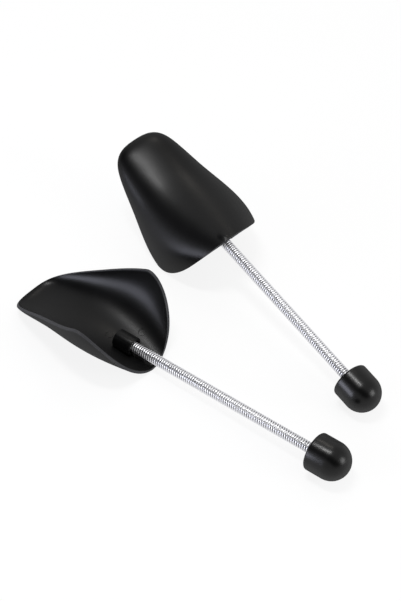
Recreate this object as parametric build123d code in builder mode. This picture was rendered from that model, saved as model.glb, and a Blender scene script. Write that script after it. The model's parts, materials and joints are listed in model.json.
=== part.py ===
# A pair of spring shoe stretchers. One stands sole side down, the other lies on its back.
# Each has a thin moulded toe shell, a coil spring and a rounded heel knob.
#
# Sizes are in millimetres, +Z is up and the floor is at Z = 0.
# Each stretcher is drawn first in its own frame: X runs from the back edge of the toe shell
# towards the toe, Y across, and Z up from the sole plane. Its stance then stands it on the floor.
import os
from math import atan2, cos, pi, radians, sin, sqrt

from build123d import *

os.makedirs("parts", exist_ok=True)

# Toe shell
shell_length = 105
shell_half_width = 36.3
shell_height = 55.3
shell_wall = 2
rim_height = 1
toe_rise = 4.8
lobe_length = 18.7
lobe_height = 43.9
# Smooth curves of half width and roof height, as (share of length, share of full size)
width_shares = ((0, 1), (0.3, 1.055), (0.6, 0.85), (0.85, 0.79))
height_shares = ((0, 1), (0.3, 0.655), (0.6, 0.38), (0.85, 0.28))
# Fullness of the cross section, at the back and at the toe
side_fullness_shares = (0.57, 0.58)
roof_fullness_shares = (0.46, 0.84)
# Rounding of the toe: where it starts, and how square it is in plan and from the side
toe_start_share = 0.6
toe_squareness_share = 2.46
toe_drop_share = 1
ball_share = 0.33
back_station_shares = (-0.05, 0.1, 0.2, 0.3, 0.4, 0.5)
toe_turn_steps = 6

# Spring and its seats
spring_axis_height = 44.5
spring_axis_slope = 22.9
spring_outer_diameter = 7.9
wire_diameter = 1.35
wire_bend_share = 1.2
coil_turns = 20
wire_sides = 4
gap_points_per_turn = 24
socket_inset = 13
socket_wall = 2.2
socket_depth = 12
socket_floor = 3
socket_rib_width = 7
socket_rib_height = 26
seat_clearance = 0.3
peg_length = 8

# Heel knob
knob_radius = 13.5
knob_straight = 13.5
knob_edge_radius = 1.6
knob_seat_depth = 11
knob_reach = 152

# Stances: the upright one heads along X with its knob over the origin, and each leans to one side
upright_lean = -14.4
upturned_lean = 3.5
upturned_heading = 10.7
upturned_knob_place = (-26.5, 56)
steepest_pitch = 60
pitch_accuracy = 0.01
surface_accuracy = 0.02

# One overrun serves every cut
overrun = 5


def smooth_value(shares, place):
    """The height at one place of the curve through all (place, value) shares."""
    value = 0
    for own_place, own_value in shares:
        weight = 1
        for other_place, _ in shares:
            if other_place != own_place:
                weight *= (place - other_place) / (own_place - other_place)
        value += weight * own_value
    return value


def between(ends, place):
    """The value at one place between the values at the back and at the toe."""
    return ends[0] + (ends[1] - ends[0]) * place


def shell_stations():
    """Places of the cross sections, with how much of the full size the toe's rounding leaves."""
    stations = [(share, 1) for share in back_station_shares]
    for step in range(toe_turn_steps):
        turn = pi / 2 * step / toe_turn_steps
        along = sin(turn) ** (2 / toe_squareness_share)
        left = cos(turn) ** (2 / toe_squareness_share)
        stations.append((toe_start_share + (1 - toe_start_share) * along, left))
    return stations


def arch_sketches(inset, drop):
    """Arched cross sections of the toe, each drawn in by the inset, with legs below the sole plane."""
    sketches = []
    for place, left in shell_stations():
        width = (shell_half_width * smooth_value(width_shares, place) - inset) * left
        height = (shell_height * smooth_value(height_shares, place) - inset) * left**toe_drop_share
        side = between(side_fullness_shares, place) * height
        roof = between(roof_fullness_shares, place) * width
        with BuildSketch(Plane.YZ.offset(place * (shell_length - inset))) as arch:
            with BuildLine():
                Bezier((width, 0), (width, side), (roof, height), (0, height))
                Bezier((0, height), (-roof, height), (-width, side), (-width, 0))
                Polyline((-width, 0), (-width, -drop), (width, -drop), (width, 0))
            make_face()
        sketches.append(arch.sketch)
    return sketches


spring_direction = Vector(-cos(radians(spring_axis_slope)), 0, sin(radians(spring_axis_slope)))


def axis_point(distance):
    """The point on the spring's axis at a distance behind the back edge of the shell."""
    return Vector(0, 0, spring_axis_height) + spring_direction * distance


mean_radius = (spring_outer_diameter - wire_diameter) / 2
wire_bend_radius = wire_bend_share * wire_diameter
tang_reach = sqrt(mean_radius**2 + wire_bend_radius**2) + wire_diameter / 2
seat_radius = tang_reach + seat_clearance
peg_radius = mean_radius - wire_diameter / 2 - seat_clearance
socket_radius = seat_radius + socket_wall
socket_length = socket_depth + socket_floor

# The body of the toe, solid, and the hollow inside it
with BuildPart() as toe_body:
    loft(arch_sketches(0, overrun))

with BuildPart() as toe_hollow:
    loft(arch_sketches(shell_wall, 2 * overrun))

# The socket: a tube under the roof that holds the spring, with a rib up to the roof
socket_mouth = Plane(axis_point(-socket_inset), x_dir=(0, 1, 0), z_dir=-spring_direction)
with BuildPart() as socket:
    with BuildSketch(socket_mouth):
        Circle(socket_radius)
        with Locations((0, socket_rib_height / 2)):
            Rectangle(socket_rib_width, socket_rib_height)
    extrude(amount=socket_length)
    add(toe_body.part, mode=Mode.INTERSECT)
    with BuildSketch(socket_mouth):
        Circle(seat_radius)
    extrude(amount=socket_depth, mode=Mode.SUBTRACT)
    with BuildSketch(socket_mouth.offset(socket_depth)):
        Circle(peg_radius)
    extrude(amount=-peg_length)

# The toe shell: the walls between body and hollow, trimmed by the outline seen from the side
ball = ball_share * shell_length
with BuildPart() as toe_shell:
    add(toe_body.part)
    add(toe_hollow.part, mode=Mode.SUBTRACT)
    with BuildSketch(Plane.XZ):
        with BuildLine():
            EllipticalCenterArc(
                (lobe_length, rim_height + lobe_height),
                lobe_length,
                lobe_height,
                start_angle=180,
                arc_size=90,
            )
            Line((lobe_length, rim_height), (ball, rim_height))
            Bezier(
                (ball, rim_height),
                ((ball + shell_length) / 2, rim_height),
                (shell_length, rim_height + toe_rise),
            )
            Polyline(
                (shell_length, rim_height + toe_rise),
                (shell_length + overrun, rim_height + toe_rise),
                (shell_length + overrun, shell_height + overrun),
                (0, shell_height + overrun),
                (0, rim_height + lobe_height),
            )
        make_face()
    extrude(amount=shell_half_width + overrun, both=True, mode=Mode.INTERSECT)
    add(socket.part)

# The spring and the knob are drawn along their own Z axis, which starts at the socket's floor
spring_span = knob_reach - knob_straight + knob_seat_depth + socket_inset + socket_depth
knob_base = spring_span - knob_seat_depth
knob_centre = knob_base + knob_straight
spring_frame = Location(
    Plane(axis_point(-socket_inset - socket_depth), x_dir=(0, 1, 0), z_dir=spring_direction)
)


def helix_point(turned):
    """The place on the coil's centre line after turning through an angle in radians."""
    climb = coil_pitch * turned / (2 * pi)
    return Vector(mean_radius * cos(turned), mean_radius * sin(turned), coil_start + climb)


def helix_heading(turned):
    """The direction of the coil's centre line there."""
    slope = coil_pitch / (2 * pi)
    return Vector(-mean_radius * sin(turned), mean_radius * cos(turned), slope).normalized()


def biarc(start, start_heading, end, end_heading):
    """Two arcs that leave one point and reach another along the given directions."""
    span = end - start
    both = start_heading + end_heading
    spread = 2 * (1 - start_heading.dot(end_heading))
    along = span.dot(both)
    reach = (sqrt(along**2 + spread * span.dot(span)) - along) / spread
    middle = (start + end + (start_heading - end_heading) * reach) * 0.5
    first = Edge.make_tangent_arc(start, start_heading, middle)
    return [first, Edge.make_tangent_arc(middle, first % 1, end)]


# Each end of the wire bends to run straight onto the floor of its seat
coil_start = wire_diameter + wire_bend_radius
coil_pitch = (spring_span - 2 * coil_start) / coil_turns
climb_angle = atan2(coil_pitch, 2 * pi * mean_radius)
bend_rise = wire_bend_radius * cos(climb_angle)
bend_side = wire_bend_radius * (1 - sin(climb_angle))
upward = Vector(0, 0, 1)

wire_path = []
tang_foot = Vector(mean_radius, -bend_side, 0)
tang_top = Vector(mean_radius, -bend_side, coil_start - bend_rise)
wire_path.append(Edge.make_line(tang_foot, tang_top))
wire_path.append(Edge.make_tangent_arc(tang_top, upward, helix_point(0)))
for half_turn in range(2 * coil_turns):
    low, high = half_turn * pi, (half_turn + 1) * pi
    wire_path += biarc(helix_point(low), helix_heading(low), helix_point(high), helix_heading(high))
last_turn = 2 * pi * coil_turns
end_top = Vector(mean_radius, bend_side, spring_span - coil_start + bend_rise)
wire_path.append(Edge.make_tangent_arc(helix_point(last_turn), helix_heading(last_turn), end_top))
wire_path.append(Edge.make_line(end_top, Vector(mean_radius, bend_side, spring_span)))
coil_line = Wire(wire_path)

with BuildPart() as coil_spring:
    with BuildSketch():
        with Locations((mean_radius, -bend_side)):
            RegularPolygon(wire_diameter / 2, wire_sides)
    sweep(path=coil_line, clean=False)


def least_gap():
    """The least clear distance between neighbouring turns, measured on points of the centre line."""
    steps = gap_points_per_turn
    points = [helix_point(2 * pi * step / steps) for step in range(2 * steps)]
    near = min((points[0] - other).length for other in points[steps // 2 :])
    return near - wire_diameter


print("coil pitch", round(coil_pitch, 3), "least gap between turns", round(least_gap(), 3))
print("wire volume over section times length", round(
    coil_spring.part.volume / (coil_spring.faces().sort_by(Axis.Z)[0].area * coil_line.length), 4
))

# The heel knob: a cylinder with a domed end, bored for the spring, with a peg inside the coil
with BuildPart() as heel_knob:
    with BuildSketch(Plane.XZ):
        with BuildLine():
            Polyline((0, knob_centre + knob_radius), (0, knob_base), (knob_radius, knob_base))
            Line((knob_radius, knob_base), (knob_radius, knob_centre))
            CenterArc((0, knob_centre), knob_radius, 0, 90)
        make_face()
    revolve(axis=Axis.Z)
    fillet(heel_knob.edges().sort_by(Axis.Z)[0], knob_edge_radius)
    with BuildSketch(Plane.XY.offset(knob_base)):
        Circle(seat_radius)
    extrude(amount=knob_seat_depth, mode=Mode.SUBTRACT)
    with BuildSketch(Plane.XY.offset(spring_span)):
        Circle(peg_radius)
    extrude(amount=-peg_length)


def surface_points(solid):
    """Points spread over a solid's surface, closer together where it curves more."""
    return solid.tessellate(surface_accuracy)[0]


def stance_pitch(turned_over):
    """The pitch, in degrees, at which the shell and the knob both touch the floor."""
    shell_points = [point.rotate(Axis.X, turned_over) for point in surface_points(toe_shell.part)]
    knob_point = axis_point(knob_reach).rotate(Axis.X, turned_over)
    low, high = -steepest_pitch, steepest_pitch
    while high - low > pitch_accuracy:
        pitch = (low + high) / 2
        shell_low = min(point.rotate(Axis.Y, -pitch).Z for point in shell_points)
        knob_low = knob_point.rotate(Axis.Y, -pitch).Z - knob_radius
        low, high = (pitch, high) if shell_low < knob_low else (low, pitch)
    return pitch


def stance(turned_over, heading, knob_place):
    """Where a stretcher stands, turned about its length, pitched, headed and set on the floor."""
    pitch = stance_pitch(turned_over)
    turned = Location((0, 0, 0), (0, 0, heading)) * Location((0, 0, 0), (0, -pitch, 0))
    turned = turned * Location((0, 0, 0), (turned_over, 0, 0))
    knob_point = (turned * Location(axis_point(knob_reach))).position
    return Location(Vector(*knob_place, knob_radius) - knob_point) * turned


pieces = {
    "toe_shell": toe_shell.part,
    "coil_spring": coil_spring.part.moved(spring_frame),
    "heel_knob": heel_knob.part.moved(spring_frame),
}
stances = {
    "upright": stance(upright_lean, 0, (0, 0)),
    "upturned": stance(180 + upturned_lean, upturned_heading, upturned_knob_place),
}
placed = {
    f"{stretcher}_{piece}": solid.moved(place)
    for stretcher, place in stances.items()
    for piece, solid in pieces.items()
}
all_points = [point for solid in placed.values() for point in surface_points(solid)]
middle_x = (min(point.X for point in all_points) + max(point.X for point in all_points)) / 2
middle_y = (min(point.Y for point in all_points) + max(point.Y for point in all_points)) / 2
for name, solid in placed.items():
    node = solid.moved(Location((-middle_x, -middle_y, 0)))
    node.label = name
    export_step(node, f"parts/{name}.step")
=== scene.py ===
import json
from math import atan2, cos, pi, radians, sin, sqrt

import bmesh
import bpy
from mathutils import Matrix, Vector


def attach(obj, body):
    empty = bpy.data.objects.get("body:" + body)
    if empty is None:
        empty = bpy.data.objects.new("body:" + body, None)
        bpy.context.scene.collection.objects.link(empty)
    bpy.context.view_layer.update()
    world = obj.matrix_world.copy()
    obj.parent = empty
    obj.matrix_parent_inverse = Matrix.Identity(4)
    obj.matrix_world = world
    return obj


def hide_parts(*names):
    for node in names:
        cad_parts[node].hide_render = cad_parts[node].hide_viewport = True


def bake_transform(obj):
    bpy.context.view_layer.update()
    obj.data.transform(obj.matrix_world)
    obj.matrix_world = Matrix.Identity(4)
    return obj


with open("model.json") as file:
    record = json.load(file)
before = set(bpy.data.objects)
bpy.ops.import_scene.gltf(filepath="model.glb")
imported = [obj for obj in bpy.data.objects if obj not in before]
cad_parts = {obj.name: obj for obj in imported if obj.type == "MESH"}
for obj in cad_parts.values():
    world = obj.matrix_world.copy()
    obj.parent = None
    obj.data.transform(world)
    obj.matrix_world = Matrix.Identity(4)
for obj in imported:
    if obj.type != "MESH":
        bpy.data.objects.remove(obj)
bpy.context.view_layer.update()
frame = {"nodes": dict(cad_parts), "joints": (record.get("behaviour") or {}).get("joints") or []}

# %% [markdown]
# A pair of spring shoe stretchers on a white table. One stands on its toe shell with the
# sole side down and leans a little to one side. The other lies on its back and shows the
# inside of its shell.
# The frame that was just loaded holds the plain solids and the joints between them. Here
# each solid gets a finer piece that stands for it, and every piece but the spring follows
# its solid's body.

# %% [markdown]
# Both stretchers are the same moulding, so every piece is modelled once, in millimetres, in
# the stretcher's own frame: X runs from the back edge of the shell towards the toe, Y across
# it, and Z up from the sole. These are the sizes that the solids have as well. Half width
# and roof height follow smooth curves that are given as (share of length, share of size).

# %% Sizes of one stretcher
SHELL_LENGTH = 105
SHELL_HALF_WIDTH = 36.3
SHELL_HEIGHT = 55.3
SHELL_WALL = 2
RIM_HEIGHT = 1
TOE_RISE = 4.8
LOBE_LENGTH = 18.7
LOBE_HEIGHT = 43.9
WIDTH_SHARES = ((0, 1), (0.3, 1.055), (0.6, 0.85), (0.85, 0.79))
HEIGHT_SHARES = ((0, 1), (0.3, 0.655), (0.6, 0.38), (0.85, 0.28))
SIDE_FULLNESS = (0.57, 0.58)
ROOF_FULLNESS = (0.46, 0.84)
TOE_START = 0.6
TOE_SQUARENESS = 2.46
BALL_SHARE = 0.33

SPRING_AXIS_HEIGHT = 44.5
SPRING_SLOPE = radians(22.9)
SPRING_DIAMETER = 7.9
WIRE_DIAMETER = 1.35
BEND_PIVOT = 13
SOCKET_INSET = 13
SOCKET_RADIUS = 6.8
SOCKET_BORE_RADIUS = 4.6
SOCKET_DEPTH = 12
SOCKET_LENGTH = 15

KNOB_RADIUS = 13.5
KNOB_STRAIGHT = 13.5
KNOB_EDGE_RADIUS = 1.6
KNOB_REACH = 152
KNOB_SEAT_DEPTH = 11

# %% [markdown]
# Where a stretcher stands is read from its joints: the bend joint turns about the line
# across the stretcher, and the squeeze joint slides along the spring. Those two directions
# and the pivot give the whole frame, so nothing has to be typed in twice.

# %% Where each stretcher stands
joints = {joint["name"]: joint for joint in frame["joints"]}
MILLIMETRE = 0.001
millimetres = Matrix.Scale(MILLIMETRE, 4)
along_spring = Vector((-cos(SPRING_SLOPE), 0, sin(SPRING_SLOPE)))


def axis_point(distance):
    """A point on the spring's axis at a distance behind the back edge of the shell."""
    return Vector((0, 0, SPRING_AXIS_HEIGHT)) + along_spring * distance


def standing(stretcher):
    """The matrix that takes a stretcher's own millimetres to its place on the table."""
    bend, squeeze = joints[stretcher + "_spring_bend"], joints[stretcher + "_spring_squeeze"]
    across, slide = Vector(bend["axis"]).normalized(), Vector(squeeze["axis"]).normalized()
    under = slide.cross(across)
    forward = -cos(SPRING_SLOPE) * slide - sin(SPRING_SLOPE) * under
    upward = sin(SPRING_SLOPE) * slide - cos(SPRING_SLOPE) * under
    turn = Matrix((forward, across, upward)).transposed().to_4x4()
    start = Vector(bend["pos_m"]) - turn @ (axis_point(BEND_PIVOT) * MILLIMETRE)
    return Matrix.Translation(start) @ turn @ millimetres


places = {stretcher: standing(stretcher) for stretcher in ("upright", "upturned")}
for stretcher, place in places.items():
    print(stretcher, "knob centre", [round(value, 4) for value in place @ axis_point(KNOB_REACH)])

# %% [markdown]
# A finished shape is written to one mesh per stretcher. The vertices are moved to their
# place on the table, and the object itself stays at the origin. The piece is listed under the
# name of its finish.

# %% A helper that turns one shape into a piece of each stretcher
SHARP_ANGLE = radians(40)
finishes = {}


def make_pieces(shape, name, finish, sharp=SHARP_ANGLE):
    """Copies a shape, modelled in a stretcher's own frame, to both stretchers."""
    for edge in shape.edges:
        edge.smooth = len(edge.link_faces) != 2 or edge.calc_face_angle(0) < sharp
    for face in shape.faces:
        face.smooth = True
    made = {}
    for stretcher, place in places.items():
        mesh = bpy.data.meshes.new(f"{stretcher}_{name}")
        shape.to_mesh(mesh)
        mesh.transform(place)
        piece = bpy.data.objects.new(mesh.name, mesh)
        bpy.context.scene.collection.objects.link(piece)
        finishes.setdefault(finish, []).append(piece)
        made[stretcher] = piece
    shape.free()
    print(name, "vertices", len(mesh.vertices), "faces", len(mesh.polygons))
    return made


# %% [markdown]
# The toe shell is one thin moulding. From the side its roof falls from the instep to the
# toe, and from above it narrows and ends in a broad round toe. Each cross section is an
# arch: nearly straight walls that lean in and turn over into the roof. Below, the shell
# stops at a rim that lies on the table, lifts towards the toe, and sweeps up in two round
# lobes at the back. A grid of faces can be laid over such an arch and moved into place row
# by row, which keeps the surface even and leaves a clean rim for the wall thickness.

# %% The toe shell's curves
def smooth_value(shares, place):
    """The height at one place of the smooth curve through all (place, value) shares."""
    value = 0
    for own_place, own_value in shares:
        weight = 1
        for other_place, _ in shares:
            if other_place != own_place:
                weight *= (place - other_place) / (own_place - other_place)
        value += weight * own_value
    return value


def toe_share(place):
    """How much of the full width the rounding of the toe leaves."""
    turn = max(0, (place - TOE_START) / (1 - TOE_START))
    return max(0, 1 - turn ** TOE_SQUARENESS) ** (1 / TOE_SQUARENESS)


def arch_point(x, bow):
    """The point of the arch at x. The bow goes from 0 at the foot of its side to 1 at the roof."""
    place = x / SHELL_LENGTH
    width = SHELL_HALF_WIDTH * smooth_value(WIDTH_SHARES, place) * toe_share(place)
    height = SHELL_HEIGHT * smooth_value(HEIGHT_SHARES, place) * toe_share(place)
    side = SIDE_FULLNESS[0] + (SIDE_FULLNESS[1] - SIDE_FULLNESS[0]) * place
    roof = ROOF_FULLNESS[0] + (ROOF_FULLNESS[1] - ROOF_FULLNESS[0]) * place
    rest = 1 - bow
    across = rest ** 3 + 3 * rest ** 2 * bow + 3 * rest * bow ** 2 * roof
    up = 3 * rest ** 2 * bow * side + 3 * rest * bow ** 2 + bow ** 3
    return Vector((x, width * across, height * up))


def rim_height(x):
    """The height of the rim at x: round at the lobes, flat in the middle, rising to the toe."""
    ball = BALL_SHARE * SHELL_LENGTH
    if x < LOBE_LENGTH:
        return RIM_HEIGHT + LOBE_HEIGHT * (1 - sqrt(1 - (1 - x / LOBE_LENGTH) ** 2))
    return RIM_HEIGHT + TOE_RISE * max(0, (x - ball) / (SHELL_LENGTH - ball)) ** 2


HALVINGS = 40


def halve(low, high, too_low):
    """The value between low and high at which too_low changes from true to false."""
    for _ in range(HALVINGS):
        middle = (low + high) / 2
        low, high = (middle, high) if too_low(middle) else (low, middle)
    return middle


toe_tip = halve(TOE_START * SHELL_LENGTH, SHELL_LENGTH,
                lambda x: arch_point(x, 1).z > rim_height(x))


def rim_bow(x):
    """The bow at which the arch at x meets the rim."""
    return halve(0, 1, lambda bow: arch_point(x, bow).z < rim_height(x))


print("the shell's tip is at", round(toe_tip, 2), "mm")

# %% [markdown]
# The rows of the grid are spaced evenly along the rim, not along the length, because the
# rim runs nearly straight up at the lobes and straight across at the toe. Many close points
# on the rim are measured first, and each row goes where its share of that run is reached.

# %% The toe shell's rows
SHELL_ROWS = 120
SHELL_COLUMNS = 96
RIM_SAMPLES = 600

rim_line = []
for step in range(RIM_SAMPLES + 1):
    x = toe_tip * (1 - cos(pi * step / RIM_SAMPLES)) / 2
    rim_line.append(arch_point(x, rim_bow(x)))
run = [0]
for before, after in zip(rim_line, rim_line[1:]):
    run.append(run[-1] + (after - before).length)
row_places = []
sample = 0
for row in range(SHELL_ROWS + 1):
    wanted = run[-1] * row / SHELL_ROWS
    while sample < RIM_SAMPLES - 1 and run[sample + 1] < wanted:
        sample += 1
    part = (wanted - run[sample]) / (run[sample + 1] - run[sample])
    row_places.append(rim_line[sample].x + (rim_line[sample + 1].x - rim_line[sample].x) * part)
print("rim length of one side", round(run[-1], 1), "mm")

# %% [markdown]
# The surface is made without thickness first. Its last row shrinks to the tip of the toe
# and is merged there. In the middle of the back edge, where the spring passes under it, the
# roof swells a little. A small attribute marks the rim, where handling wears the plastic paler.
# A Solidify modifier then gives the even wall that moulding needs, and a Bevel modifier
# rounds the rim, which catches the thin light line that shows the edge.

# %% The toe shell
BOSS_SWELL = 0.8
BOSS_PLACE = 3.5
BOSS_REACH = 5
MERGE_DISTANCE = 0.001
RIM_SHARE = 0.999
RIM_ROUNDING = 0.0007
RIM_STEPS = 3
RIM_ANGLE = radians(55)

toe_skin = bmesh.new()
bmesh.ops.create_grid(toe_skin, x_segments=SHELL_ROWS, y_segments=SHELL_COLUMNS, size=1)
rim_mark = toe_skin.verts.layers.float.new("rim")
row_feet = [rim_bow(x) for x in row_places]
for vertex in toe_skin.verts:
    row = round((vertex.co.x + 1) / 2 * SHELL_ROWS)
    spot = arch_point(row_places[row], 1 - abs(vertex.co.y) * (1 - row_feet[row]))
    # The rim is marked for its paler colour: partly wear from handling, partly a painted highlight
    # along the edge.
    vertex[rim_mark] = 1 if abs(vertex.co.y) > RIM_SHARE or row == 0 else 0
    if vertex.co.y < 0:
        spot.y = -spot.y
    swell = ((spot.x - BOSS_PLACE) ** 2 + spot.y ** 2) / BOSS_REACH ** 2
    spot.z += BOSS_SWELL * max(0, 1 - swell) ** 2
    vertex.co = spot
bmesh.ops.remove_doubles(toe_skin, verts=toe_skin.verts, dist=MERGE_DISTANCE)
bmesh.ops.recalc_face_normals(toe_skin, faces=toe_skin.faces)
top_face = max(toe_skin.faces, key=lambda face: face.calc_center_median().z)
if top_face.normal.z < 0:
    bmesh.ops.reverse_faces(toe_skin, faces=toe_skin.faces)
toe_shells = make_pieces(toe_skin, "shell", "moulded_polypropylene")
for stretcher, piece in toe_shells.items():
    wall = piece.modifiers.new("wall", "SOLIDIFY")
    wall.thickness = SHELL_WALL * MILLIMETRE
    wall.offset = -1
    wall.use_even_offset = True
    rim = piece.modifiers.new("rim", "BEVEL")
    rim.width = RIM_ROUNDING
    rim.segments = RIM_STEPS
    rim.limit_method = "ANGLE"
    rim.angle_limit = RIM_ANGLE
    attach(piece, stretcher + "_toe")
    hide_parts(stretcher + "_toe_shell")

# %% [markdown]
# Sockets and knobs are round about the spring's axis, like turned work. Half of the section
# is drawn as a line of corners, its corners are rounded, and one full spin makes the piece.

# %% Drawing a turned piece
TURNED_SIDES = 64
TURN_ROUNDING_STEPS = 6


def spring_frame(distance):
    """The frame whose Z runs along the spring, at a distance behind the back edge."""
    side = Vector((0, 1, 0))
    turn = Matrix((side, along_spring.cross(side), along_spring)).transposed().to_4x4()
    return Matrix.Translation(axis_point(distance)) @ turn


def turned(corners, rounding):
    """Spins a line of (radius, height) corners once round Z. Rounding lists the corners that
    are made round, as pairs of corner number and radius."""
    shape = bmesh.new()
    verts = [shape.verts.new((radius, 0, height)) for radius, height in corners]
    for first, second in zip(verts, verts[1:]):
        shape.edges.new((first, second))
    for corner, radius in rounding:
        bmesh.ops.bevel(shape, geom=[verts[corner]], offset=radius, offset_type="OFFSET",
                        segments=TURN_ROUNDING_STEPS, profile=0.5, affect="VERTICES", material=-1)
    bmesh.ops.spin(shape, geom=shape.verts[:] + shape.edges[:], cent=(0, 0, 0), axis=(0, 0, 1),
                   angle=2 * pi, steps=TURNED_SIDES, use_merge=True)
    bmesh.ops.remove_doubles(shape, verts=shape.verts, dist=MERGE_DISTANCE)
    bmesh.ops.recalc_face_normals(shape, faces=shape.faces)
    return shape


# %% [markdown]
# Under the roof a tube, closed at its far end, holds the end of the spring. It is moulded in
# one with the shell. Where it would pass through the roof, its points are held inside the
# wall, because nothing of it shows on the outside of the real shell.

# %% The socket
SOCKET_EDGE_RADIUS = 0.8
SOCKET_LIP_RADIUS = 0.5

socket = turned(((0, -SOCKET_LENGTH), (SOCKET_RADIUS, -SOCKET_LENGTH), (SOCKET_RADIUS, 0),
                 (SOCKET_BORE_RADIUS, 0), (SOCKET_BORE_RADIUS, -SOCKET_DEPTH), (0, -SOCKET_DEPTH)),
                ((1, SOCKET_EDGE_RADIUS), (2, SOCKET_EDGE_RADIUS), (3, SOCKET_LIP_RADIUS)))
bmesh.ops.transform(socket, verts=socket.verts, matrix=spring_frame(-SOCKET_INSET))
for vertex in socket.verts:
    vertex.co.z = min(vertex.co.z, arch_point(vertex.co.x, 1).z - SHELL_WALL / 2)
sockets = make_pieces(socket, "socket", "moulded_polypropylene")
for stretcher, piece in sockets.items():
    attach(piece, stretcher + "_toe")
    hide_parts(stretcher + "_toe_shell")

# %% [markdown]
# A rib joins the tube to the roof and carries the push of the spring. It is a flat block,
# cut into short lengths so that its upper corners can follow the curve of the roof.

# %% The rib
RIB_WIDTH = 7
RIB_STEPS = 12
RIB_EDGE_RADIUS = 0.5
RIB_EDGE_STEPS = 3
RIB_CORNER_ANGLE = 1

rib = bmesh.new()
bmesh.ops.create_grid(rib, x_segments=RIB_STEPS, y_segments=1, size=0.5)
skirt = bmesh.ops.extrude_face_region(rib, geom=rib.faces[:])["geom"]
upper = [item for item in skirt if isinstance(item, bmesh.types.BMVert)]
for vertex in rib.verts:
    ahead = SOCKET_INSET + (vertex.co.x + 0.5) * SOCKET_LENGTH
    low = axis_point(-ahead)
    high = arch_point(low.x, 1).z - SHELL_WALL / 2
    vertex.co = Vector((low.x, vertex.co.y * RIB_WIDTH, high if vertex in upper else low.z))
bmesh.ops.recalc_face_normals(rib, faces=rib.faces)
corner_edges = [edge for edge in rib.edges if edge.calc_face_angle(0) > RIB_CORNER_ANGLE]
bmesh.ops.bevel(rib, geom=corner_edges, offset=RIB_EDGE_RADIUS, offset_type="OFFSET",
                segments=RIB_EDGE_STEPS, profile=0.5, affect="EDGES", material=-1)
ribs = make_pieces(rib, "rib", "moulded_polypropylene")
for stretcher, piece in ribs.items():
    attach(piece, stretcher + "_toe")
    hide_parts(stretcher + "_toe_shell")

# %% [markdown]
# Pins push the moulding out of its mould and leave shallow rings on the inside, one in front
# of the socket and one beside it. Such a ring is a small circle of wire, laid on the surface
# and sunk by half of its own thickness. The surface there is found from three nearby points.

# %% The marks of the ejector pins
PIN_RADIUS = 2.6
PIN_LINE = 0.35
PIN_PLACES = ((35, 0), (19, 16.3))
PIN_SIDES = 8
PIN_STEPS = 48
NEARBY = 0.1


def inner_point(x, y):
    """The point of the shell's inner face above (x, y) and its normal, pointing inwards."""
    def roof(x, y):
        bow = halve(0, 1, lambda bow: arch_point(x, bow).y > y)
        return Vector((x, y, arch_point(x, bow).z))
    spot = roof(x, y)
    normal = (roof(x, y + NEARBY) - spot).cross(roof(x + NEARBY, y) - spot).normalized()
    return spot + normal * SHELL_WALL, normal


pins = bmesh.new()
for x, y in PIN_PLACES:
    spot, normal = inner_point(x, y)
    lay = Matrix.Translation(spot) @ normal.to_track_quat("Z", "Y").to_matrix().to_4x4()
    start = lay @ Matrix.Translation((PIN_RADIUS, 0, 0)) @ Matrix.Rotation(pi / 2, 4, "X")
    ring = bmesh.ops.create_circle(pins, segments=PIN_SIDES, radius=PIN_LINE / 2,
                                   matrix=start)["verts"]
    edges = list({edge for vertex in ring for edge in vertex.link_edges})
    bmesh.ops.spin(pins, geom=ring + edges, cent=spot, axis=normal, angle=2 * pi,
                   steps=PIN_STEPS, use_merge=True)
bmesh.ops.recalc_face_normals(pins, faces=pins.faces)
pin_marks = make_pieces(pins, "pin_marks", "moulded_polypropylene")
for stretcher, piece in pin_marks.items():
    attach(piece, stretcher + "_toe")
    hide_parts(stretcher + "_toe_shell")

# %% [markdown]
# The spring is wound from round wire. The solids show it with few wide turns, and here it
# has all of its turns. A ring of the wire's outline is spun round the spring's axis while it
# climbs by the pitch, which is how a screw thread is made too. It comes in two lengths: the
# first nearer the shell, the second nearer the knob.
# An attribute marks the side of the wire that faces the inside of the coil, where the wire is
# painted dark as painted shade between the turns. The few turns
# before the mouth and after the knob's base sit out of sight in the socket and the bore.

# %% The spring
PITCH = 1.77
TURN_STEPS = 24
WIRE_SIDES = 8
ROOT_TURNS = (-6, 28)
TIP_TURNS = (28, 90)
ROOT_END = 50
TIP_START = 54
WIRE_SHARP_ANGLE = radians(60)
# The painted shade on the wire's inner side begins a little outside the middle of the wire.
INNER_SHADE_START = 0.1
mean_radius = (SPRING_DIAMETER - WIRE_DIAMETER) / 2


def coil(first_turn, last_turn):
    """A length of the wire, from one whole turn to another, counted from the socket's mouth."""
    shape = bmesh.new()
    lean = Matrix.Rotation(pi / 2 - atan2(PITCH, 2 * pi * mean_radius), 4, "X")
    start = Matrix.Translation((mean_radius, 0, first_turn * PITCH))
    bmesh.ops.create_circle(shape, segments=WIRE_SIDES, radius=WIRE_DIAMETER / 2,
                            matrix=start @ lean)
    turns = last_turn - first_turn
    bmesh.ops.spin(shape, geom=shape.verts[:] + shape.edges[:], cent=(0, 0, 0), axis=(0, 0, 1),
                   dvec=(0, 0, PITCH / TURN_STEPS), angle=2 * pi * turns, steps=turns * TURN_STEPS)
    ends = [edge for edge in shape.edges if edge.is_boundary]
    bmesh.ops.holes_fill(shape, edges=ends, sides=WIRE_SIDES)
    bmesh.ops.recalc_face_normals(shape, faces=shape.faces)
    # The side of the wire that faces the coil's axis is marked for painted shade between the turns.
    inner_shade_mark = shape.verts.layers.float.new("inner_shade")
    for vertex in shape.verts:
        inward = (mean_radius - vertex.co.xy.length) / (WIRE_DIAMETER / 2)
        vertex[inner_shade_mark] = min(1, max(0, INNER_SHADE_START + inward))
    bmesh.ops.transform(shape, verts=shape.verts, matrix=spring_frame(-SOCKET_INSET))
    return shape


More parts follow.
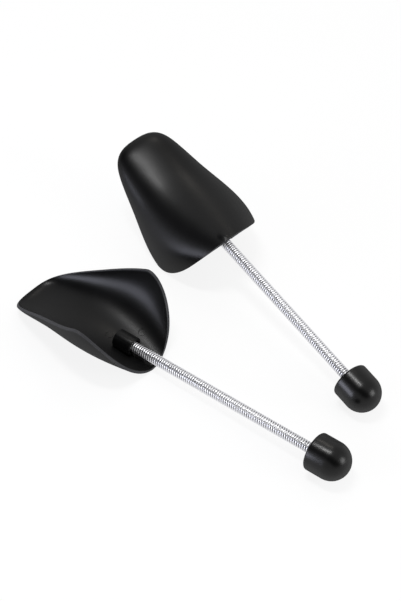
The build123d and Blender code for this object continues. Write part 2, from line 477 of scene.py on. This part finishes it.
mouth_to_knob = SOCKET_INSET + KNOB_REACH - KNOB_STRAIGHT
blends = (("root", ROOT_TURNS, "_toe", "_spring", 0, ROOT_END),
          ("tip", TIP_TURNS, "_spring", "_knob", TIP_START, mouth_to_knob))
for part_name, turns, before, after, start, end in blends:
    lengths = make_pieces(coil(*turns), "spring_" + part_name, "nickel_plated_steel",
                          sharp=WIRE_SHARP_ANGLE)
    for stretcher, piece in lengths.items():
        place = places[stretcher]
        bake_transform(piece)
        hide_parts(stretcher + "_coil_spring")

# %% [markdown]
# The heel knob is a short cylinder that ends in half a ball. Its section is drawn from the
# base to the top: the bore for the spring, the base with a rounded edge, the straight side,
# and a quarter circle that is itself made by spinning one vertex. One full spin closes it.

# %% The heel knob
DOME_STEPS = 20
KNOB_EDGE_STEPS = 8
KNOB_STEPS = 96

knob = bmesh.new()
top = knob.verts.new((0, 0, KNOB_STRAIGHT + KNOB_RADIUS))
bmesh.ops.spin(knob, geom=[top], cent=(0, 0, KNOB_STRAIGHT), axis=(0, 1, 0), angle=pi / 2,
               steps=DOME_STEPS)
foot = min(knob.verts, key=lambda vertex: vertex.co.z)
corners = ((KNOB_RADIUS, 0), (SOCKET_BORE_RADIUS, 0), (SOCKET_BORE_RADIUS, KNOB_SEAT_DEPTH),
           (0, KNOB_SEAT_DEPTH))
line = [foot]
for radius, height in corners:
    line.append(knob.verts.new((radius, 0, height)))
    knob.edges.new(line[-2:])
bmesh.ops.bevel(knob, geom=[line[1]], offset=KNOB_EDGE_RADIUS, offset_type="OFFSET",
                segments=KNOB_EDGE_STEPS, profile=0.5, affect="VERTICES", material=-1)
bmesh.ops.spin(knob, geom=knob.verts[:] + knob.edges[:], cent=(0, 0, 0), axis=(0, 0, 1),
               angle=2 * pi, steps=KNOB_STEPS, use_merge=True)
bmesh.ops.remove_doubles(knob, verts=knob.verts, dist=MERGE_DISTANCE)
bmesh.ops.recalc_face_normals(knob, faces=knob.faces)
bmesh.ops.transform(knob, verts=knob.verts, matrix=spring_frame(KNOB_REACH - KNOB_STRAIGHT))
knobs = make_pieces(knob, "knob", "moulded_abs")
for stretcher, piece in knobs.items():
    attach(piece, stretcher + "_knob")
    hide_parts(stretcher + "_heel_knob")

# %% [markdown]
# Colours are written as the hex values that a screen shows, and one function turns them to
# the linear values that light is added up in. A second function adds a node to a material,
# sets it and links it, so that each material reads as a short list. A third one starts an
# empty material with only its output.

# %% Helpers for materials
def colour(hex_value):
    """The linear colour of a screen colour such as 1c1c1e."""
    channels = [int(hex_value[place:place + 2], 16) / 255 for place in (0, 2, 4)]
    linear = [c / 12.92 if c <= 0.04045 else ((c + 0.055) / 1.055) ** 2.4 for c in channels]
    return (*linear, 1)


def add_node(tree, kind, settings=None, links=None):
    """Adds one node, with its settings by property or socket name, and links its inputs."""
    node = tree.nodes.new(kind)
    for name, value in (settings or {}).items():
        if isinstance(name, int) or name in node.inputs:
            node.inputs[name].default_value = value
        else:
            setattr(node, name, value)
    for name, output in (links or {}).items():
        tree.links.new(output, node.inputs[name])
    return node


def new_material(name):
    """A material with only its output node, and that node."""
    material = bpy.data.materials.new(name)
    material.use_nodes = True
    material.node_tree.nodes.clear()
    return material, material.node_tree, material.node_tree.nodes.new("ShaderNodeOutputMaterial")


# %% [markdown]
# The shells are injection-moulded polypropylene, dyed black. The mould's fine etched texture
# makes the shine broad and soft. The plastic is a little uneven where it flowed, over about
# 20 mm. The rim is painted paler: partly wear from handling, partly a painted highlight along
# the edge. The etched grain is some 0.1 mm in the real moulding, too fine to show here, so it
# is drawn at 0.9 mm. At a slant the fine texture hides its own dips and breaks up the
# reflection of the table, so the roughness rises there, with a Layer Weight node that
# measures how far a face turns away.

# %% Shell plastic
FLOW_SIZE = 0.020
GRAIN_SIZE = 0.0009
SLANT_START = 0.22
SLANT_ROUGHNESS = 0.85

shell_plastic, tree, output = new_material("moulded_polypropylene")
coordinates = add_node(tree, "ShaderNodeTexCoord")
flow = add_node(tree, "ShaderNodeTexNoise", {"Scale": 1 / FLOW_SIZE, "Detail": 3.0},
                {"Vector": coordinates.outputs["Object"]})
grain = add_node(tree, "ShaderNodeTexNoise", {"Scale": 1 / GRAIN_SIZE, "Detail": 2.0},
                 {"Vector": coordinates.outputs["Object"]})
wear_and_highlight = add_node(tree, "ShaderNodeAttribute", {"attribute_name": "rim"})
dye = add_node(tree, "ShaderNodeMix",
               {"data_type": "RGBA", "A": colour("060606"), "B": colour("0b0b0c")},
               {"Factor": flow.outputs["Fac"]})
# The rim is painted paler, 333336: partly wear from handling, partly a painted highlight along the
# edge.
tone = add_node(tree, "ShaderNodeMix", {"data_type": "RGBA", "B": colour("333336")},
                {"Factor": wear_and_highlight.outputs["Fac"], "A": dye.outputs[2]})
etched = add_node(tree, "ShaderNodeMapRange", {"To Min": 0.28, "To Max": 0.36},
                  {"Value": flow.outputs["Fac"]})
slant = add_node(tree, "ShaderNodeLayerWeight", {"Blend": 0.5})
gloss = add_node(tree, "ShaderNodeMapRange", {"From Min": SLANT_START, "To Max": SLANT_ROUGHNESS},
                 {"Value": slant.outputs["Facing"], "To Min": etched.outputs["Result"]})
bump = add_node(tree, "ShaderNodeBump", {"Strength": 0.15, "Distance": 0.00006},
                {"Height": grain.outputs["Fac"]})
plastic = add_node(tree, "ShaderNodeBsdfPrincipled", {"IOR": 1.49, "Specular IOR Level": 0.18},
                   {"Base Color": tone.outputs[2], "Roughness": gloss.outputs["Result"],
                    "Normal": bump.outputs["Normal"]})
tree.links.new(plastic.outputs["BSDF"], output.inputs["Surface"])
print(shell_plastic.name, "nodes", len(tree.nodes))

# %% [markdown]
# The knobs are moulded ABS from a polished mould: a deeper black with a clear shine, and
# the faint waviness over some 4 mm that moulded gloss has. At a slant they lose some of
# their shine too, by the same rule as the shells.

# %% Knob plastic
WAVE_SIZE = 0.004

knob_plastic, tree, output = new_material("moulded_abs")
coordinates = add_node(tree, "ShaderNodeTexCoord")
wave = add_node(tree, "ShaderNodeTexNoise", {"Scale": 1 / WAVE_SIZE, "Detail": 1.0},
                {"Vector": coordinates.outputs["Object"]})
polish = add_node(tree, "ShaderNodeMapRange", {"To Min": 0.26, "To Max": 0.31},
                  {"Value": wave.outputs["Fac"]})
slant = add_node(tree, "ShaderNodeLayerWeight", {"Blend": 0.5})
gloss = add_node(tree, "ShaderNodeMapRange", {"From Min": SLANT_START, "To Max": SLANT_ROUGHNESS},
                 {"Value": slant.outputs["Facing"], "To Min": polish.outputs["Result"]})
bump = add_node(tree, "ShaderNodeBump", {"Strength": 0.06, "Distance": 0.0001},
                {"Height": wave.outputs["Fac"]})
plastic = add_node(tree, "ShaderNodeBsdfPrincipled",
                   {"Base Color": colour("050505"), "IOR": 1.54, "Specular IOR Level": 0.24},
                   {"Roughness": gloss.outputs["Result"], "Normal": bump.outputs["Normal"]})
tree.links.new(plastic.outputs["BSDF"], output.inputs["Surface"])
print(knob_plastic.name, "nodes", len(tree.nodes))

# %% [markdown]
# The spring is steel wire with bright nickel plating. It reflects the white table and the
# lamps. The side of the wire that faces the inside of the coil is painted dull and dark, a
# painted shade between the turns, so that the gaps between them read as dark lines. Drawing
# the wire leaves fine marks, which only vary the roughness a little here.

# %% Spring steel
MARK_SIZE = 0.0012

spring_steel, tree, output = new_material("nickel_plated_steel")
coordinates = add_node(tree, "ShaderNodeTexCoord")
marks = add_node(tree, "ShaderNodeTexNoise", {"Scale": 1 / MARK_SIZE, "Detail": 2.0},
                 {"Vector": coordinates.outputs["Object"]})
bright = add_node(tree, "ShaderNodeMapRange", {"To Min": 0.32, "To Max": 0.42},
                  {"Value": marks.outputs["Fac"]})
# The marked inner side of the wire is painted dark, 505054, and made rougher: painted shade between
# the turns.
inner_shade = add_node(tree, "ShaderNodeAttribute", {"attribute_name": "inner_shade"})
gloss = add_node(tree, "ShaderNodeMapRange", {"To Max": 0.6},
                 {"Value": inner_shade.outputs["Fac"], "To Min": bright.outputs["Result"]})
plating_and_shade = add_node(tree, "ShaderNodeMix",
                   {"data_type": "RGBA", "A": colour("e2e2e5"), "B": colour("505054")},
                   {"Factor": inner_shade.outputs["Fac"]})
steel = add_node(tree, "ShaderNodeBsdfPrincipled", {"Metallic": 1.0},
                 {"Base Color": plating_and_shade.outputs[2], "Roughness": gloss.outputs["Result"]})
tree.links.new(steel.outputs["BSDF"], output.inputs["Surface"])
print(spring_steel.name, "nodes", len(tree.nodes))

# %% [markdown]
# Each piece kept the name of its finish when it was made, so one loop hands out the three
# materials. The plain solids get the same ones, so that they match wherever they are shown.

# %% Every piece and solid gets its finish
materials = {"moulded_polypropylene": shell_plastic, "moulded_abs": knob_plastic,
             "nickel_plated_steel": spring_steel}
for finish, pieces in finishes.items():
    for piece in pieces:
        piece.data.materials.clear()
        piece.data.materials.append(materials[finish])
solid_finishes = {"toe_shell": shell_plastic, "coil_spring": spring_steel,
                  "heel_knob": knob_plastic}
for name, solid in frame["nodes"].items():
    for ending, material in solid_finishes.items():
        if name.endswith(ending):
            solid.data.materials.clear()
            solid.data.materials.append(material)
print("pieces", {finish: len(pieces) for finish, pieces in finishes.items()})

# %% [markdown]
# The table is a plain white sheet. The camera sees it as an even white with the soft shadow
# of the stretchers, and so does the metal: the Light Path node mixes plain white with the
# lit surface for those rays, so that no more light has to fall on the object.

# %% The white table
TABLE_RADIUS = 1.6
TABLE_SIDES = 96
WHITE_SHARE = 0.86

table_shape = bmesh.new()
bmesh.ops.create_circle(table_shape, cap_ends=True, segments=TABLE_SIDES, radius=TABLE_RADIUS)
table_mesh = bpy.data.meshes.new("table")
table_shape.to_mesh(table_mesh)
table_shape.free()
table = bpy.data.objects.new("table", table_mesh)
bpy.context.scene.collection.objects.link(table)

white_paper, tree, output = new_material("white_paper")
rays = add_node(tree, "ShaderNodeLightPath")
either = add_node(tree, "ShaderNodeMath", {"operation": "MAXIMUM"},
                  {0: rays.outputs["Is Camera Ray"], 1: rays.outputs["Is Glossy Ray"]})
seen = add_node(tree, "ShaderNodeMath", {"operation": "MAXIMUM"},
                {0: either.outputs[0], 1: rays.outputs["Is Transmission Ray"]})
share = add_node(tree, "ShaderNodeMath", {"operation": "MULTIPLY", 1: WHITE_SHARE},
                 {0: seen.outputs[0]})
lit = add_node(tree, "ShaderNodeBsdfDiffuse", {"Color": colour("f4f4f4")})
even = add_node(tree, "ShaderNodeEmission", {"Color": colour("ffffff"), "Strength": 1.0})
mixed = add_node(tree, "ShaderNodeMixShader", None,
                 {0: share.outputs[0], 1: lit.outputs["BSDF"], 2: even.outputs["Emission"]})
tree.links.new(mixed.outputs["Shader"], output.inputs["Surface"])
table.data.materials.append(white_paper)
print(white_paper.name, "nodes", len(tree.nodes))

# %% [markdown]
# The light comes from soft boxes. A strip overhead gives the line on the shell's shoulder
# and lights the table. A small warm box beside it draws the upper line along each knob. The
# box on the left is large, cool and close to the table, and draws the lower line. The one
# beside the camera gives the round spot on each dome. A picture of a black object is mostly
# a picture of its surroundings, so where the boxes stand matters more than their power.

# %% Soft boxes
LAMPS = (
    # name, direction from the object, distance, width and height in metres, watts, colour
    ("overhead_strip", (0.2, 0.09, 0.97), 1.4, 0.12, 0.5, 8.5, "ffffff"),
    ("right_ceiling_box", (0.4, -0.42, 0.82), 1.4, 0.16, 0.3, 1.0, "fff8ee"),
    ("left_box", (0.36, 0.9, 0.19), 1.1, 0.45, 0.42, 5.5, "eaedff"),
    ("camera_box", (-0.86, -0.36, 0.34), 1.1, 0.42, 0.42, 3.6, "ffffff"),
)
LAMP_AIM = Vector((-0.02, -0.02, 0.02))
for name, direction, distance, width, height, watts, tint in LAMPS:
    lamp = bpy.data.lights.new(name, "AREA")
    lamp.shape = "RECTANGLE"
    lamp.size, lamp.size_y = width, height
    lamp.energy = watts
    lamp.color = colour(tint)[:3]
    stand = bpy.data.objects.new(name, lamp)
    stand.location = LAMP_AIM + Vector(direction).normalized() * distance
    stand.rotation_euler = (LAMP_AIM - stand.location).to_track_quat("-Z", "Y").to_euler()
    bpy.context.scene.collection.objects.link(stand)
print("soft boxes", [lamp[0] for lamp in LAMPS])

# %% [markdown]
# The room is pale, apart from a long dark band overhead on the left, like the black cloth
# that a photographer hangs up to keep light off. Both springs lie along it and mirror it,
# which gives them the dark line along their middle. The world can show both: its strength
# depends on how far a direction lies from the plane of the band, and on how high it points.

# %% The room
ROOM_STRENGTH = 0.78
BAND_STRENGTH = 0.02
BAND_SIDE = Vector((0, 0.86, -0.51))
BAND_EDGE = (0.2, 0.42)
BAND_RISE = (0.1, 0.35)

world = bpy.data.worlds.new("pale_room")
world.use_nodes = True
tree = world.node_tree
coordinates = add_node(tree, "ShaderNodeTexCoord")
beside = add_node(tree, "ShaderNodeVectorMath", {"operation": "DOT_PRODUCT", 1: BAND_SIDE},
                  {0: coordinates.outputs["Object"]})
distance = add_node(tree, "ShaderNodeMath", {"operation": "ABSOLUTE"}, {0: beside.outputs["Value"]})
band = add_node(tree, "ShaderNodeMapRange", {"From Min": BAND_EDGE[0], "From Max": BAND_EDGE[1],
                                             "To Min": 1.0, "To Max": 0.0},
                {"Value": distance.outputs[0]})
axes = add_node(tree, "ShaderNodeSeparateXYZ", None, {"Vector": coordinates.outputs["Object"]})
rise = add_node(tree, "ShaderNodeMapRange", {"From Min": BAND_RISE[0], "From Max": BAND_RISE[1]},
                {"Value": axes.outputs["Z"]})
dark = add_node(tree, "ShaderNodeMath", {"operation": "MULTIPLY"},
                {0: band.outputs["Result"], 1: rise.outputs["Result"]})
strength = add_node(tree, "ShaderNodeMapRange", {"To Min": ROOM_STRENGTH, "To Max": BAND_STRENGTH},
                    {"Value": dark.outputs[0]})
room = tree.nodes["Background"]
room.inputs["Color"].default_value = colour("ffffff")
tree.links.new(strength.outputs["Result"], room.inputs["Strength"])
bpy.context.scene.world = world

# %% [markdown]
# The camera stands above the knobs and looks down over both stretchers with a long lens.
# Its place and lens were fitted to the outlines in the photograph. The Standard view keeps
# the colours as they are written.

# %% Camera
CAMERA_PLACE = Vector((-0.57422, 0.54225, 0.86832))
CAMERA_AIM = Vector((0.03569, -0.01709, 0))
LENS_LENGTH = 100.55
SENSOR_WIDTH = 36
FAR_END = 50

lens = bpy.data.cameras.new("camera")
lens.lens = LENS_LENGTH
lens.sensor_width = SENSOR_WIDTH
lens.clip_end = FAR_END
camera = bpy.data.objects.new("camera", lens)
camera.location = CAMERA_PLACE
camera.rotation_euler = (CAMERA_AIM - CAMERA_PLACE).to_track_quat("-Z", "Y").to_euler()
bpy.context.scene.collection.objects.link(camera)
bpy.context.scene.camera = camera
bpy.context.scene.view_settings.view_transform = "Standard"
print("camera distance", round((CAMERA_AIM - CAMERA_PLACE).length, 3), "m")
